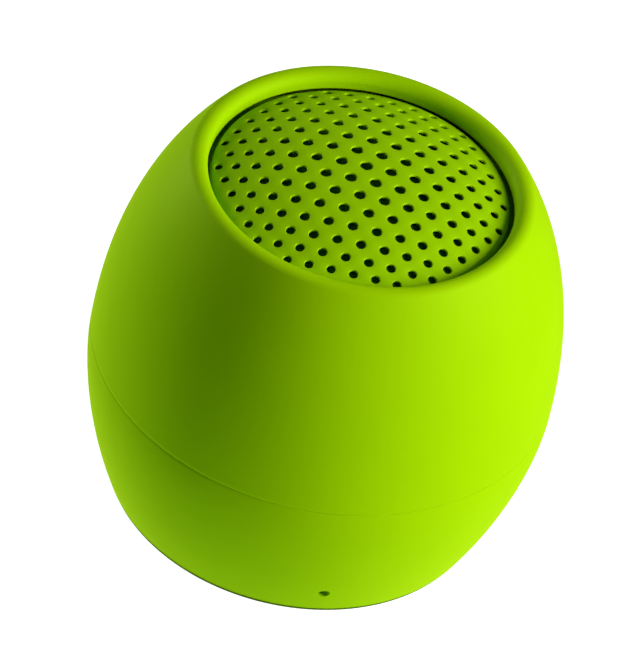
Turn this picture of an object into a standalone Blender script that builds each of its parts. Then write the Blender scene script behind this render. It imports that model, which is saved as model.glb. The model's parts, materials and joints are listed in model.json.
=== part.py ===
"""A palm-size, egg-shaped wireless speaker for wet rooms, built up from its real pieces.

All sizes in this file are millimetres and MM turns them into Blender's metres.
+Z is up and the origin is the centre of the face that the speaker stands on.
-Y is the front, where the microphone hole is, and +Y is the back, with the charging port.
"""
import math

import bmesh
import bpy
from mathutils import Matrix

MM = 0.001

# Driving dimensions: the outside of the egg.
BODY_RADIUS = 23.0
EQUATOR_Z = 15.7
UPPER_LENGTH, UPPER_POWER = 33.0, 2.235
LOWER_LENGTH, LOWER_POWER = 31.7, 1.6
OPENING_RADIUS = 14.9
LIP_RADIUS = 1.03
WALL = 1.4
SEAM_Z = 17.0
SHELL_BASE_Z = 0.65

# Driving dimensions: the perforated dome.
GRILLE_TOP_Z = 41.08
GRILLE_THICK = 0.5
GRILLE_RADIUS = 15.9
GRILLE_SEAT_Z, GRILLE_SEAT_TOP = 34.9, 35.8
GRILLE_BEND_INNER, GRILLE_BEND_OUTER, GRILLE_BEND_FALL = 14.5, 15.1, 0.9
HOLE_PITCH = 2.42
HOLE_RADIUS, HOLE_TAPER = 0.6, 0.05
HOLE_SIDES = 6
HOLE_RINGS_SQUARED = 43
DOME_DROP = 0.0718
DOME_FLARE = 4.5e-6
DOME_SHRINK = 0.003

# Driving dimensions: clearances, fasteners and smoothness.
GAP = 0.3
MERGE = 1e-7
ROUND = 36
MEDIUM = 24
SMALL = 10
SCREW_SHANK = 0.45
SCREW_HEAD = 1.0
SCREW_HEAD_HIGH = 0.6
SCREW_BORE = 0.78

# The base: plate, foot, button and lamp.
FOOT_HIGH = 0.35
FOOT_OUTER, FOOT_INNER = 18.9, 11.0
PLATE_Z, PLATE_TOP = 0.65, 2.6
PLATE_RADIUS = 16.7
BUTTON_RADIUS = 4.15
BUTTON_Z, BUTTON_TOP = 0.8, 2.9
BUTTON_FLANGE, BUTTON_FLANGE_TOP = 5.2, 3.5
BUTTON_POST, BUTTON_POST_TOP = 1.2, 3.9
LIGHT_PLACE = (0.0, -8.0, 0.0)
LIGHT_RADIUS, LIGHT_FLANGE = 0.48, 1.2
LIGHT_Z, LIGHT_TOP = 0.75, 5.2

# The lower shell: ledge, seam tongue, sound hole and charging port.
LEDGE_Z, LEDGE_TOP = 2.9, 4.7
LEDGE_INNER = 14.0
EDGE = 0.3
TONGUE, TONGUE_INNER, TONGUE_TOP = 21.2, 20.3, 19.8
GROOVE, GROOVE_Z, GROOVE_TOP = 20.68, 17.7, 19.1
MIC_Z, MIC_AZIMUTH, MIC_HOLE = 3.8, -75.0, 0.5
MIC_POCKET, MIC_POCKET_HALF = 17.35, 2.2
PORT_Z, PORT_WIDE, PORT_HIGH, PORT_ROUND = 9.1, 11.0, 5.0, 1.6
PORT_REACH = (17.0, 25.0)
FLAP_THICK = 1.2
FLAP_PLUG = (7.2, 2.3, 1.6)
FLAP_PLUG_Y = 20.25
POST_RADIUS = 1.2

# The board and the parts on it.
PCB_Z, PCB_TOP, PCB_RADIUS = 6.4, 7.2, 16.0
SWITCH_SIZE, SWITCH_Z, SWITCH_BORE = (4.5, 4.5, 1.3), 5.45, 1.3
PLUNGER_RADIUS, PLUNGER_HALF, PLUNGER_Z = 1.0, 0.55, 4.75
USB_MOUTH, USB_BACK = 19.9, 13.4
USB_WIDE, USB_HIGH, USB_WALL, USB_ROUND = 9.0, 3.2, 0.3, 1.4

# The battery and its tray.
TRAY_Z, TRAY_TOP, TRAY_RADIUS, TRAY_HOLE = 11.4, 12.4, 18.4, 5.0
PAD_LENGTH, PAD_WIDE = 22.0, 16.0
BATTERY_SIZE, BATTERY_Z, BATTERY_ROUND = (24.0, 18.0, 6.5), 16.85, 1.6

# The driver.
FRAME_TOP, FRAME_RADIUS, FRAME_FLANGE = 33.7, 15.8, 1.0
FRAME_LIP, FRAME_WAIST, FRAME_NECK = 13.6, 11.6, 9.1
SPIDER_LEDGE = 28.9
POT_Z, POT_TOP, POT_RADIUS, POT_WALL, POT_FLOOR = 23.0, 28.4, 8.8, 1.8, 1.2
MAGNET_RADIUS, MAGNET_TOP, POLE_RADIUS = 5.5, 27.0, 5.8
COIL_Z, COIL_TOP, COIL_RADIUS = 26.2, 30.7, 6.5
CONE_THROAT, CONE_Z, CONE_THICK = 6.0, 31.0, 0.4
SPIDER_INNER, SPIDER_OUTER, SPIDER_Z = 6.85, 12.5, 29.4
SURROUND_INNER, SURROUND_OUTER, SURROUND_Z = 11.0, 12.9, 34.0
CLAMP_INNER, CLAMP_OUTER, CLAMP_Z, CLAMP_TOP = 14.3, 18.5, 31.4, 32.4
BOSS_RADIUS, BOSS_TOP = 1.3, 35.4

# Where the screws stand: directions round the axis, and distances from it.
PCB_SCREWS = [30, 150, 270]
TRAY_SCREWS = [0, 120, 240]
BASE_SCREWS = [90, 210, 330]
DRIVER_SCREWS = [45, 135, 225, 315]
PCB_SCREW_R, TRAY_SCREW_R, BASE_SCREW_R, DRIVER_SCREW_R = 15.0, 17.6, 15.1, 17.45

# The wires: the places that each pair's smooth route goes through, and how far each lies from it.
WIRE_RADIUS = 0.42
DRIVER_ROUTE = [(-13.2, 7.6), (-13.6, 8.5), (-16.4, 9.0), (-19.3, 11.4), (-19.6, 15.5), (-19.4, 21.0),
                (-17.8, 26.0), (-14.8, 28.4)]
DRIVER_SIDE = 1.3
BATTERY_ROUTE = [(12.5, -5.0, 16.5), (15.0, -5.3, 16.5), (18.3, -6.6, 14.0), (18.5, -7.0, 11.6),
                 (15.5, -5.6, 8.9), (11.6, -4.6, 8.9)]
BATTERY_SIDE = 0.9

# Materials: base colour, roughness and metallic value.
LIME = ((0.24, 0.50, 0.005), 0.55, 0.0)
DARK_GREEN = ((0.05, 0.13, 0.004), 0.6, 0.0)
BLACK_PLASTIC = ((0.03, 0.03, 0.03), 0.5, 0.0)
RUBBER = ((0.04, 0.04, 0.04), 0.8, 0.0)
STEEL = ((0.6, 0.6, 0.62), 0.35, 1.0)
PAPER = ((0.07, 0.07, 0.07), 0.85, 0.0)
BOARD = ((0.02, 0.12, 0.05), 0.5, 0.0)
FOIL = ((0.65, 0.66, 0.68), 0.4, 0.4)
COPPER = ((0.72, 0.38, 0.2), 0.35, 1.0)
RED = ((0.5, 0.02, 0.02), 0.5, 0.0)
CLEAR = ((0.8, 0.85, 0.85), 0.2, 0.0)


# ---------------------------------------------------------------- helpers

def clear_scene():
    """Start from nothing."""
    for item in list(bpy.data.objects):
        bpy.data.objects.remove(item, do_unlink=True)


def new_material(name, material):
    """Make one Principled material for one piece."""
    colour, roughness, metallic = material
    made = bpy.data.materials.new(name)
    made.use_nodes = True
    shader = made.node_tree.nodes["Principled BSDF"]
    shader.inputs["Base Color"].default_value = (*colour, 1.0)
    shader.inputs["Roughness"].default_value = roughness
    shader.inputs["Metallic"].default_value = metallic
    return made


def add_object(name, bm, material, place=(0.0, 0.0, 0.0)):
    """Turn a bmesh in millimetres into a smooth-shaded object in metres."""
    bmesh.ops.scale(bm, vec=(MM, MM, MM), verts=bm.verts)
    bmesh.ops.remove_doubles(bm, verts=bm.verts, dist=MERGE)
    bmesh.ops.recalc_face_normals(bm, faces=bm.faces)
    mesh = bpy.data.meshes.new(name)
    bm.to_mesh(mesh)
    bm.free()
    mesh.shade_smooth()
    mesh.set_sharp_from_angle(angle=math.radians(35))
    if material:
        mesh.materials.append(new_material(name, material))
    made = bpy.data.objects.new(name, mesh)
    made.location = [value * MM for value in place]
    bpy.context.scene.collection.objects.link(made)
    return made


def spun(outline, segments):
    """Spin a (radius, height) outline round Z. It closes on itself unless it ends on the axis."""
    bm = bmesh.new()
    points = [bm.verts.new((radius, 0, height)) for radius, height in outline]
    pairs = list(zip(points, points[1:]))
    if outline[0][0] or outline[-1][0]:
        pairs.append((points[-1], points[0]))
    edges = [bm.edges.new(pair) for pair in pairs]
    bmesh.ops.spin(bm, geom=points + edges, cent=(0, 0, 0), axis=(0, 0, 1), dvec=(0, 0, 0),
                   angle=2 * math.pi, steps=segments, use_merge=True)
    return bm


def turned(name, outline, material, segments=MEDIUM, place=(0.0, 0.0, 0.0)):
    """A solid of revolution."""
    return add_object(name, spun(outline, segments), material, place)


def ring(name, inner, outer, low, high, material, segments=MEDIUM, place=(0.0, 0.0, 0.0)):
    """A flat ring, or a disc if inner is 0."""
    outline = [(inner, low), (outer, low), (outer, high), (inner, high)]
    return turned(name, outline, material, segments, place)


def block(name, size, centre, material, turn=0.0, round_axis=None, rounding=0.0):
    """A box at a centre, with its edges along round_axis rounded, all turned about the Z axis."""
    bm = bmesh.new()
    bmesh.ops.create_cube(bm, size=1.0)
    bmesh.ops.scale(bm, vec=size, verts=bm.verts)
    if round_axis is not None:
        edges = [edge for edge in bm.edges
                 if abs((edge.verts[0].co - edge.verts[1].co)[round_axis]) > size[round_axis] / 2]
        bmesh.ops.bevel(bm, geom=edges, offset=rounding, segments=3, profile=0.5, affect="EDGES")
    bmesh.ops.translate(bm, vec=centre, verts=bm.verts)
    bmesh.ops.rotate(bm, cent=(0, 0, 0), matrix=Matrix.Rotation(math.radians(turn), 3, "Z"), verts=bm.verts)
    return add_object(name, bm, material)


def polar(radius, degrees):
    """A place at a distance from the axis, in a direction."""
    angle = math.radians(degrees)
    return (radius * math.cos(angle), radius * math.sin(angle), 0.0)


def combine(target, tool, operation):
    """Cut, join or intersect a piece with a hidden tool."""
    tool.hide_render = True
    tool.display_type = "WIRE"
    modifier = target.modifiers.new(tool.name, "BOOLEAN")
    modifier.operation = operation
    modifier.solver = "EXACT"
    modifier.object = tool


def rods(name, radius, low, high, places):
    """One hidden tool of equal round rods, parallel to Z."""
    bm = bmesh.new()
    for x, y, _ in places:
        middle = Matrix.Translation((x, y, (low + high) / 2))
        bmesh.ops.create_cone(bm, cap_ends=True, segments=SMALL, radius1=radius, radius2=radius,
                              depth=high - low, matrix=middle)
    return add_object(name, bm, None)


def circle_of(radius, directions):
    """Places on a circle round the axis."""
    return [polar(radius, direction) for direction in directions]


def bores(target, name, radius, low, high, places):
    """Cut equal round holes, parallel to Z."""
    combine(target, rods(name, radius, low, high, places), "DIFFERENCE")


def posts(target, name, radius, low, high, places):
    """Stand equal round posts on a piece, joined to it."""
    combine(target, rods(name, radius, low, high, places), "UNION")


def screws(name, radius, directions, head_z, tip_z):
    """Identical screws on a circle, each from the outer face of its head to its tip."""
    way = math.copysign(1, tip_z - head_z)
    outline = [(0, head_z), (SCREW_HEAD * 0.8, head_z), (SCREW_HEAD, head_z + way * 0.2),
               (SCREW_HEAD, head_z + way * SCREW_HEAD_HIGH), (SCREW_SHANK, head_z + way * SCREW_HEAD_HIGH),
               (SCREW_SHANK, tip_z - way * 0.3), (0, tip_z)]
    first = turned(name + "_1", outline, STEEL, 8, polar(radius, directions[0]))
    for number, direction in enumerate(directions[1:], start=2):
        copy = bpy.data.objects.new(f"{name}_{number}", first.data)
        copy.location = [value * MM for value in polar(radius, direction)]
        bpy.context.scene.collection.objects.link(copy)


# ---------------------------------------------------------------- the shape of the egg

def body_radius(height):
    """The outside radius at a height: two super-elliptic halves that meet at the widest circle."""
    rise = height - EQUATOR_Z
    length, power = (UPPER_LENGTH, UPPER_POWER) if rise >= 0 else (LOWER_LENGTH, LOWER_POWER)
    return BODY_RADIUS * math.sqrt(1 - (abs(rise) / length) ** power)


def wall_point(height, inset):
    """A point of the outside curve, moved straight into the wall by inset."""
    step = 0.01
    slope = (body_radius(height + step) - body_radius(height - step)) / (2 * step)
    scale = inset / math.hypot(1, slope)
    return (body_radius(height) - scale, height + slope * scale)


def wall_points(low, high, inset, count):
    """Evenly spaced points along the wall, from low to high."""
    heights = [low + (high - low) * index / (count - 1) for index in range(count)]
    return [wall_point(height, inset) for height in heights]


def lip_centre_z():
    """The height at which the lip's round just touches the outside curve."""
    centre_r = OPENING_RADIUS + LIP_RADIUS
    reach = [LIP_RADIUS * index / 40 for index in range(41)]
    low, high = EQUATOR_Z, EQUATOR_Z + UPPER_LENGTH * 0.9
    while high - low > 1e-4:
        middle = (low + high) / 2
        inside = all(body_radius(middle + rise) >= centre_r + math.sqrt(LIP_RADIUS ** 2 - rise ** 2)
                     for rise in reach)
        low, high = (middle, high) if inside else (low, middle)
    return low


def lip_points(count):
    """The rolled lip, from the outside curve over its crest to the wall of the opening."""
    centre_z = lip_centre_z()
    centre_r = OPENING_RADIUS + LIP_RADIUS
    start = math.radians(35)
    angles = [start + (math.pi - start) * index / (count - 1) for index in range(count)]
    return [(centre_r + LIP_RADIUS * math.cos(angle), centre_z + LIP_RADIUS * math.sin(angle))
            for angle in angles]


# ---------------------------------------------------------------- the shape of the grille

def bend_fall(radius):
    """How far the sheet's bent-down edge lies below the dome at a radius."""
    along = (radius - GRILLE_BEND_INNER) / (GRILLE_BEND_OUTER - GRILLE_BEND_INNER)
    return GRILLE_BEND_FALL * min(max(along, 0.0), 1.0)


def dome_point(steps):
    """Radius and height of the sheet's top face, a number of hole pitches from the middle."""
    radius = HOLE_PITCH * steps * (1 - DOME_SHRINK * steps ** 2)
    height = GRILLE_TOP_Z - DOME_DROP * steps ** 2 + DOME_FLARE * steps ** 6
    return radius, height - bend_fall(radius)


def steps_at(radius):
    """The number of hole pitches at which the dome reaches a radius."""
    low, high = 0.0, 9.0
    while high - low > 1e-5:
        middle = (low + high) / 2
        low, high = (middle, high) if dome_point(middle)[0] < radius else (low, middle)
    return low


def dome_z(radius):
    """Height of the sheet's top face at a radius."""
    return dome_point(steps_at(radius))[1]


def hole_centres():
    """Places of the holes in pitches, on a triangular grid with one in the middle."""
    reach = range(-8, 9)
    grid = [(i, j) for j in reach for i in reach if i * i + i * j + j * j <= HOLE_RINGS_SQUARED]
    return [(i + j / 2, j * math.sqrt(3) / 2) for i, j in grid]


def hole_steps(centre):
    """A hole's radius in pitches: the holes grow smaller towards the edge."""
    return HOLE_RADIUS / HOLE_PITCH * (1 - HOLE_TAPER * math.hypot(*centre))


def flat_circle(bm, centre, radius, count):
    """A ring of points in the grille's flat pattern."""
    angles = [2 * math.pi * index / count for index in range(count)]
    return [bm.verts.new((centre[0] + radius * math.cos(angle), centre[1] + radius * math.sin(angle), 0))
            for angle in angles]


def joined_up(bm, points):
    """The edges round a ring of points."""
    return [bm.edges.new((points[index - 1], points[index])) for index in range(len(points))]


def make_grille():
    """The perforated sheet: a flat pattern with holes, drawn into a dome, then thickened."""
    bm = bmesh.new()
    radii = (GRILLE_BEND_INNER, GRILLE_BEND_OUTER, GRILLE_RADIUS)
    rims = [flat_circle(bm, (0, 0), steps_at(radius), 2 * ROUND) for radius in radii]
    edges = joined_up(bm, rims[0])
    for centre in hole_centres():
        edges += joined_up(bm, flat_circle(bm, centre, hole_steps(centre), HOLE_SIDES))
    bmesh.ops.triangle_fill(bm, use_beauty=True, edges=edges)
    for inner, outer in zip(rims, rims[1:]):
        for index in range(len(inner)):
            bm.faces.new((inner[index - 1], inner[index], outer[index], outer[index - 1]))
    bmesh.ops.recalc_face_normals(bm, faces=bm.faces)
    for vert in bm.verts:
        steps = vert.co.length
        radius, height = dome_point(steps)
        scale = radius / steps if steps else HOLE_PITCH
        vert.co = (vert.co.x * scale, vert.co.y * scale, height)
    grille = add_object("grille", bm, LIME)
    if sum(face.normal.z for face in grille.data.polygons) < 0:
        grille.data.flip_normals()
    thick = grille.modifiers.new("thickness", "SOLIDIFY")
    thick.thickness = GRILLE_THICK * MM
    thick.offset = -1.0
    return grille


# ---------------------------------------------------------------- the shells

def make_upper_shell():
    """The tall upper shell, with the rolled lip, and bosses for the driver's clamp ring."""
    low = SEAM_Z + GAP / 2
    under_lip = [(radius, dome_z(radius) + GAP + 0.15) for radius in (OPENING_RADIUS, 15.6, 16.3)]
    inner_top = under_lip[-1][1] - 0.1
    lip = lip_points(6)
    outer = wall_points(low, lip[0][1] - 0.5, 0.0, 9)
    inner = wall_points(low, inner_top, WALL, 7)[::-1]
    shell = turned("upper_shell", outer + lip + under_lip + inner, LIME, ROUND)
    places = circle_of(DRIVER_SCREW_R, DRIVER_SCREWS)
    boss_z = FRAME_TOP - FRAME_FLANGE
    posts(shell, "driver_bosses", BOSS_RADIUS, boss_z, BOSS_TOP, places)
    bores(shell, "driver_boss_bores", SCREW_BORE, boss_z - 0.2, BOSS_TOP - 0.7, places)


def lower_outline():
    """The lower shell's section: outside, edge, tongue with the seal's groove, inside and ledge."""
    base_r = body_radius(SHELL_BASE_Z + EDGE)
    shoulder = SEAM_Z - GAP / 2
    bottom = [(base_r - EDGE, SHELL_BASE_Z), (base_r - EDGE / 4, SHELL_BASE_Z + EDGE / 3)]
    outside = wall_points(SHELL_BASE_Z + EDGE, shoulder, 0.0, 8)
    tongue = [(TONGUE, shoulder), (TONGUE, GROOVE_Z), (GROOVE, GROOVE_Z), (GROOVE, GROOVE_TOP),
              (TONGUE, GROOVE_TOP), (TONGUE, TONGUE_TOP), (TONGUE_INNER, TONGUE_TOP), (TONGUE_INNER, 15.0)]
    inside = wall_points(LEDGE_TOP, 14.2, WALL, 5)[::-1]
    recess = PLATE_RADIUS + GAP
    ledge = [(LEDGE_INNER, LEDGE_TOP), (LEDGE_INNER, LEDGE_Z), (recess, LEDGE_Z), (recess, SHELL_BASE_Z)]
    return bottom + outside + tongue + inside + ledge


def port_tool(name, margin, reach):
    """A rounded block the size of the port's opening, less a margin, across the back wall."""
    size = (PORT_WIDE - 2 * margin, reach[1] - reach[0], PORT_HIGH - 2 * margin)
    return block(name, size, (0, sum(reach) / 2, PORT_Z), None, round_axis=1, rounding=PORT_ROUND - margin)


def mic_block(name, half_wide, reach, low, high, material):
    """A block behind the microphone hole, given by its reach from the axis."""
    size = (reach[1] - reach[0], 2 * half_wide, high - low)
    return block(name, size, ((reach[0] + reach[1]) / 2, 0, (low + high) / 2), material, turn=MIC_AZIMUTH)


def mic_duct(target, name):
    """The sound hole from outside to the microphone, drilled radially."""
    near, far = 14.0, 22.0
    bm = spun([(0, near), (MIC_HOLE, near), (MIC_HOLE, far), (0, far)], SMALL)
    bmesh.ops.rotate(bm, cent=(0, 0, 0), matrix=Matrix.Rotation(math.pi / 2, 3, "Y"), verts=bm.verts)
    bmesh.ops.translate(bm, vec=(0, 0, MIC_Z), verts=bm.verts)
    turn = Matrix.Rotation(math.radians(MIC_AZIMUTH), 3, "Z")
    bmesh.ops.rotate(bm, cent=(0, 0, 0), matrix=turn, verts=bm.verts)
    combine(target, add_object(name, bm, None), "DIFFERENCE")


def make_lower_shell():
    """The lower shell, with posts for the board and the battery tray, port and sound hole."""
    shell = turned("lower_shell", lower_outline(), LIME, ROUND)
    board_places = circle_of(PCB_SCREW_R, PCB_SCREWS)
    tray_places = circle_of(TRAY_SCREW_R, TRAY_SCREWS)
    posts(shell, "board_posts", POST_RADIUS, LEDGE_TOP - 0.5, PCB_Z - GAP, board_places)
    posts(shell, "tray_posts", POST_RADIUS, LEDGE_TOP - 0.5, TRAY_Z - GAP, tray_places)
    bores(shell, "board_post_bores", SCREW_BORE, LEDGE_TOP - 0.1, PCB_Z, board_places)
    bores(shell, "tray_post_bores", SCREW_BORE, TRAY_Z - 3.4, TRAY_Z, tray_places)
    base_places = circle_of(BASE_SCREW_R, BASE_SCREWS)
    bores(shell, "ledge_bores", SCREW_BORE, LEDGE_Z - 0.5, LEDGE_TOP - GAP, base_places)
    combine(shell, port_tool("port_opening", 0.0, PORT_REACH), "DIFFERENCE")
    reach = (LEDGE_INNER - 1.0, MIC_POCKET)
    pocket = mic_block("mic_pocket", MIC_POCKET_HALF, reach, LEDGE_Z - 0.5, LEDGE_TOP + 1.0, None)
    combine(shell, pocket, "DIFFERENCE")
    mic_duct(shell, "mic_hole")


def make_seam_seal():
    """The square-section seal that sits in the tongue's groove."""
    ring("seam_seal", GROOVE + 0.28, TONGUE + 0.06, GROOVE_Z + GAP, GROOVE_TOP - GAP, RUBBER, ROUND)


# ---------------------------------------------------------------- under the grille

def make_grille_support():
    """The ring under the grille's edge, the water-proof membrane, and the driver's gasket."""
    ring("grille_ring", 14.2, GRILLE_RADIUS, GRILLE_SEAT_Z, GRILLE_SEAT_TOP, BLACK_PLASTIC, ROUND)
    depth = GRILLE_THICK + GAP
    top = [(dome_point(steps)[0], dome_point(steps)[1] - depth) for steps in (0, 2, 4, 5.5, 6.2, 6.7)]
    bottom = [(radius, height - 0.3) for radius, height in top[::-1]]
    turned("membrane", top + bottom, PAPER)
    ring("driver_gasket", 14.6, FRAME_RADIUS, FRAME_TOP + GAP, FRAME_TOP + 3 * GAP, RUBBER)


def make_driver_frame():
    """The driver's basket, with a ledge for the spider and four windows in its wall."""
    flange_z = FRAME_TOP - FRAME_FLANGE
    top = [(FRAME_RADIUS, FRAME_TOP), (FRAME_LIP, FRAME_TOP), (FRAME_LIP - 0.7, SPIDER_LEDGE)]
    ledge = [(FRAME_WAIST, SPIDER_LEDGE), (FRAME_WAIST, SPIDER_LEDGE - 0.9)]
    neck = [(FRAME_NECK, SPIDER_LEDGE - 0.9), (FRAME_NECK, SPIDER_LEDGE - 2.1)]
    outside = [(FRAME_WAIST + 1.0, SPIDER_LEDGE - 2.1), (FRAME_LIP + 0.3, flange_z),
               (FRAME_RADIUS, flange_z)]
    frame = turned("driver_frame", top + ledge + neck + outside, BLACK_PLASTIC)
    for number, direction in enumerate((0, 90, 180, 270), start=1):
        window = block(f"window_{number}", (6.0, 9.0, 2.2), (FRAME_LIP, 0, 31.0), None, turn=direction)
        combine(frame, window, "DIFFERENCE")


def make_motor():
    """The pot, magnet and pole plate."""
    pot_inner, floor = POT_RADIUS - POT_WALL, POT_Z + POT_FLOOR
    pot = [(0, POT_Z), (POT_RADIUS, POT_Z), (POT_RADIUS, POT_TOP), (pot_inner, POT_TOP), (pot_inner, floor),
           (0, floor)]
    turned("magnet_pot", pot, STEEL)
    ring("magnet", 0, MAGNET_RADIUS, floor + GAP, MAGNET_TOP, STEEL)
    ring("pole_plate", 0, POLE_RADIUS, MAGNET_TOP + GAP, POT_TOP, STEEL)


def roll_outline(inner, outer, lip, base, high, thick, count):
    """A half roll between two flat lips, as a thin closed section."""
    middle, half = (inner + outer) / 2, (outer - inner) / 2
    top = [(inner - lip, base + thick)]
    bottom = [(inner - lip, base)]
    for index in range(count + 1):
        angle = math.pi * (1 - index / count)
        side, rise = math.cos(angle), math.sin(angle)
        top.append((middle + half * side, base + thick + high * rise))
        bottom.append((middle + (half - thick * abs(rise)) * side, base + high * rise))
    top.append((outer + lip, base + thick))
    bottom.append((outer + lip, base))
    return top + bottom[::-1]


def wave_outline(inner, outer, base, swing, thick, waves, per_wave):
    """A corrugated disc, as a thin closed section."""
    count = waves * per_wave
    middle = []
    for index in range(count + 1):
        radius = inner + (outer - inner) * index / count
        middle.append((radius, base + swing * math.sin(2 * math.pi * waves * index / count)))
    top = [(radius, height + thick / 2) for radius, height in middle]
    bottom = [(radius, height - thick / 2) for radius, height in middle[::-1]]
    return top + bottom


def make_moving_driver():
    """What the sound moves: cone, dust cap, coil, and the two soft rings that hold them."""
    roll = roll_outline(SURROUND_INNER, SURROUND_OUTER, 0.8, SURROUND_Z, 0.9, 0.3, 4)
    turned("surround", roll, RUBBER)
    rim, rim_top = SURROUND_INNER - GAP, SURROUND_Z - 2 * GAP
    cone = [(CONE_THROAT, CONE_Z), (rim, rim_top - 0.35), (rim, rim_top), (rim - 0.2, rim_top),
            (CONE_THROAT, CONE_Z + CONE_THICK)]
    turned("cone", cone, PAPER)
    cap_top = [(0, 33.4), (2.2, 33.2), (4.2, 32.6), (5.9, 31.8)]
    cap_bottom = [(5.6, 31.7), (4.1, 32.3), (2.1, 32.9), (0, 33.1)]
    turned("dust_cap", cap_top + cap_bottom, PAPER)
    ring("voice_coil", COIL_RADIUS - 0.3, COIL_RADIUS, COIL_Z, COIL_TOP, COPPER)
    turned("spider", wave_outline(SPIDER_INNER, SPIDER_OUTER, SPIDER_Z, 0.12, 0.25, 2, 4), RED)


def make_driver_mount():
    """The clamp ring that holds the driver up, its screws, and the terminal board."""
    clamp = ring("clamp_ring", CLAMP_INNER, CLAMP_OUTER, CLAMP_Z, CLAMP_TOP, BLACK_PLASTIC)
    places = circle_of(DRIVER_SCREW_R, DRIVER_SCREWS)
    bores(clamp, "clamp_bores", SCREW_BORE, CLAMP_Z - 0.4, CLAMP_TOP + 0.6, places)
    screws("driver_screw", DRIVER_SCREW_R, DRIVER_SCREWS, CLAMP_Z - GAP - SCREW_HEAD_HIGH, BOSS_TOP - 1.1)
    block("terminal_board", (0.8, 6.0, 2.2), (13.95, 0, 28.5), BOARD, turn=180)


# ---------------------------------------------------------------- battery and board

def make_battery():
    """The tray across the lower shell, and the battery between two foam pads."""
    tray = ring("battery_tray", TRAY_HOLE, TRAY_RADIUS, TRAY_Z, TRAY_TOP, BLACK_PLASTIC)
    places = circle_of(TRAY_SCREW_R, TRAY_SCREWS)
    bores(tray, "tray_bores", SCREW_BORE, TRAY_Z - 0.4, TRAY_TOP + 0.6, places)
    screws("tray_screw", TRAY_SCREW_R, TRAY_SCREWS, TRAY_TOP + GAP + SCREW_HEAD_HIGH, TRAY_Z - 3.0)
    block("foam_pad_lower", (PAD_LENGTH, PAD_WIDE, 0.6), (0, 0, TRAY_TOP + 0.6), RUBBER)
    block("battery", BATTERY_SIZE, (0, 0, BATTERY_Z), FOIL, round_axis=0, rounding=BATTERY_ROUND)
    battery_top = BATTERY_Z + BATTERY_SIZE[2] / 2
    block("foam_pad_upper", (PAD_LENGTH, PAD_WIDE, 0.8), (0, 0, battery_top + 0.7), RUBBER)


def make_board():
    """The round circuit board with the parts on it."""
    board = ring("circuit_board", 0, PCB_RADIUS, PCB_Z, PCB_TOP, BOARD)
    places = circle_of(PCB_SCREW_R, PCB_SCREWS)
    bores(board, "board_bores", SCREW_BORE, PCB_Z - 0.4, PCB_TOP + 0.8, places)
    screws("board_screw", PCB_SCREW_R, PCB_SCREWS, PCB_TOP + GAP + SCREW_HEAD_HIGH, PCB_Z - 1.5)
    on_board = PCB_TOP + GAP
    block("radio_module", (10, 7, 1.8), (-5.5, -6, on_board + 0.9), STEEL)
    block("amplifier_chip", (4, 4, 0.9), (5, -7, on_board + 0.45), BLACK_PLASTIC)
    ring("capacitor", 0, 1.6, on_board, on_board + 3.0, FOIL, SMALL, (-9.5, 4.0, 0))
    block("power_inductor", (3, 3, 1.6), (-4.5, 4, on_board + 0.8), BLACK_PLASTIC)
    block("battery_socket", (3, 4.6, 2.8), (9.6, -4.6, on_board + 1.4), CLEAR)
    block("status_led", (1.6, 0.9, 0.6), (0, LIGHT_PLACE[1], PCB_Z - GAP - 0.3), CLEAR)


def make_usb_socket():
    """The charging socket: a flat tube open to the back, with a tongue on its closed end."""
    depth = USB_MOUTH - USB_BACK
    socket = block("usb_socket", (USB_WIDE, depth, USB_HIGH), (0, USB_BACK + depth / 2, PORT_Z), STEEL,
                   round_axis=1, rounding=USB_ROUND)
    hollow = (USB_WIDE - 2 * USB_WALL, depth, USB_HIGH - 2 * USB_WALL)
    cavity = block("usb_cavity", hollow, (0, USB_BACK + 1 + depth / 2, PORT_Z), None,
                   round_axis=1, rounding=USB_ROUND - 0.2)
    combine(socket, cavity, "DIFFERENCE")
    tongue = block("usb_tongue", (6.4, 4.6, 0.7), (0, USB_BACK + 2.8, PORT_Z), None)
    combine(socket, tongue, "UNION")


def make_tact_switch():
    """The switch under the board, and the plunger that the power button pushes up."""
    body = block("switch_body", SWITCH_SIZE, (0, 0, SWITCH_Z), BLACK_PLASTIC)
    bores(body, "switch_bore", SWITCH_BORE, SWITCH_Z - 1.5, SWITCH_Z + 1.5, [(0, 0, 0)])
    ring("switch_plunger", 0, PLUNGER_RADIUS, -PLUNGER_HALF, PLUNGER_HALF, STEEL, SMALL, (0, 0, PLUNGER_Z))


# ---------------------------------------------------------------- base

def make_base():
    """The base plate with its screws, light pipe and anti-slip foot."""
    plate = ring("base_plate", BUTTON_RADIUS + 0.35, PLATE_RADIUS, PLATE_Z, PLATE_TOP, DARK_GREEN, ROUND)
    places = circle_of(BASE_SCREW_R, BASE_SCREWS)
    bores(plate, "plate_bores", SCREW_BORE, 0.0, PLATE_TOP + 0.4, places + [LIGHT_PLACE])
    bores(plate, "plate_sinks", SCREW_HEAD + GAP, 0.0, PLATE_TOP - 0.7, places)
    screws("base_screw", BASE_SCREW_R, BASE_SCREWS, PLATE_Z + GAP, LEDGE_TOP - 0.6)
    flange_z = PLATE_TOP + GAP
    light = [(0, LIGHT_Z), (LIGHT_RADIUS, LIGHT_Z), (LIGHT_RADIUS, flange_z), (LIGHT_FLANGE, flange_z),
             (LIGHT_FLANGE, flange_z + 0.4), (0.8, flange_z + 0.4), (0.8, LIGHT_TOP), (0, LIGHT_TOP)]
    turned("light_pipe", light, CLEAR, SMALL, LIGHT_PLACE)
    ring("foot_ring", FOOT_INNER, FOOT_OUTER, 0.0, FOOT_HIGH, DARK_GREEN, ROUND)


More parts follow.
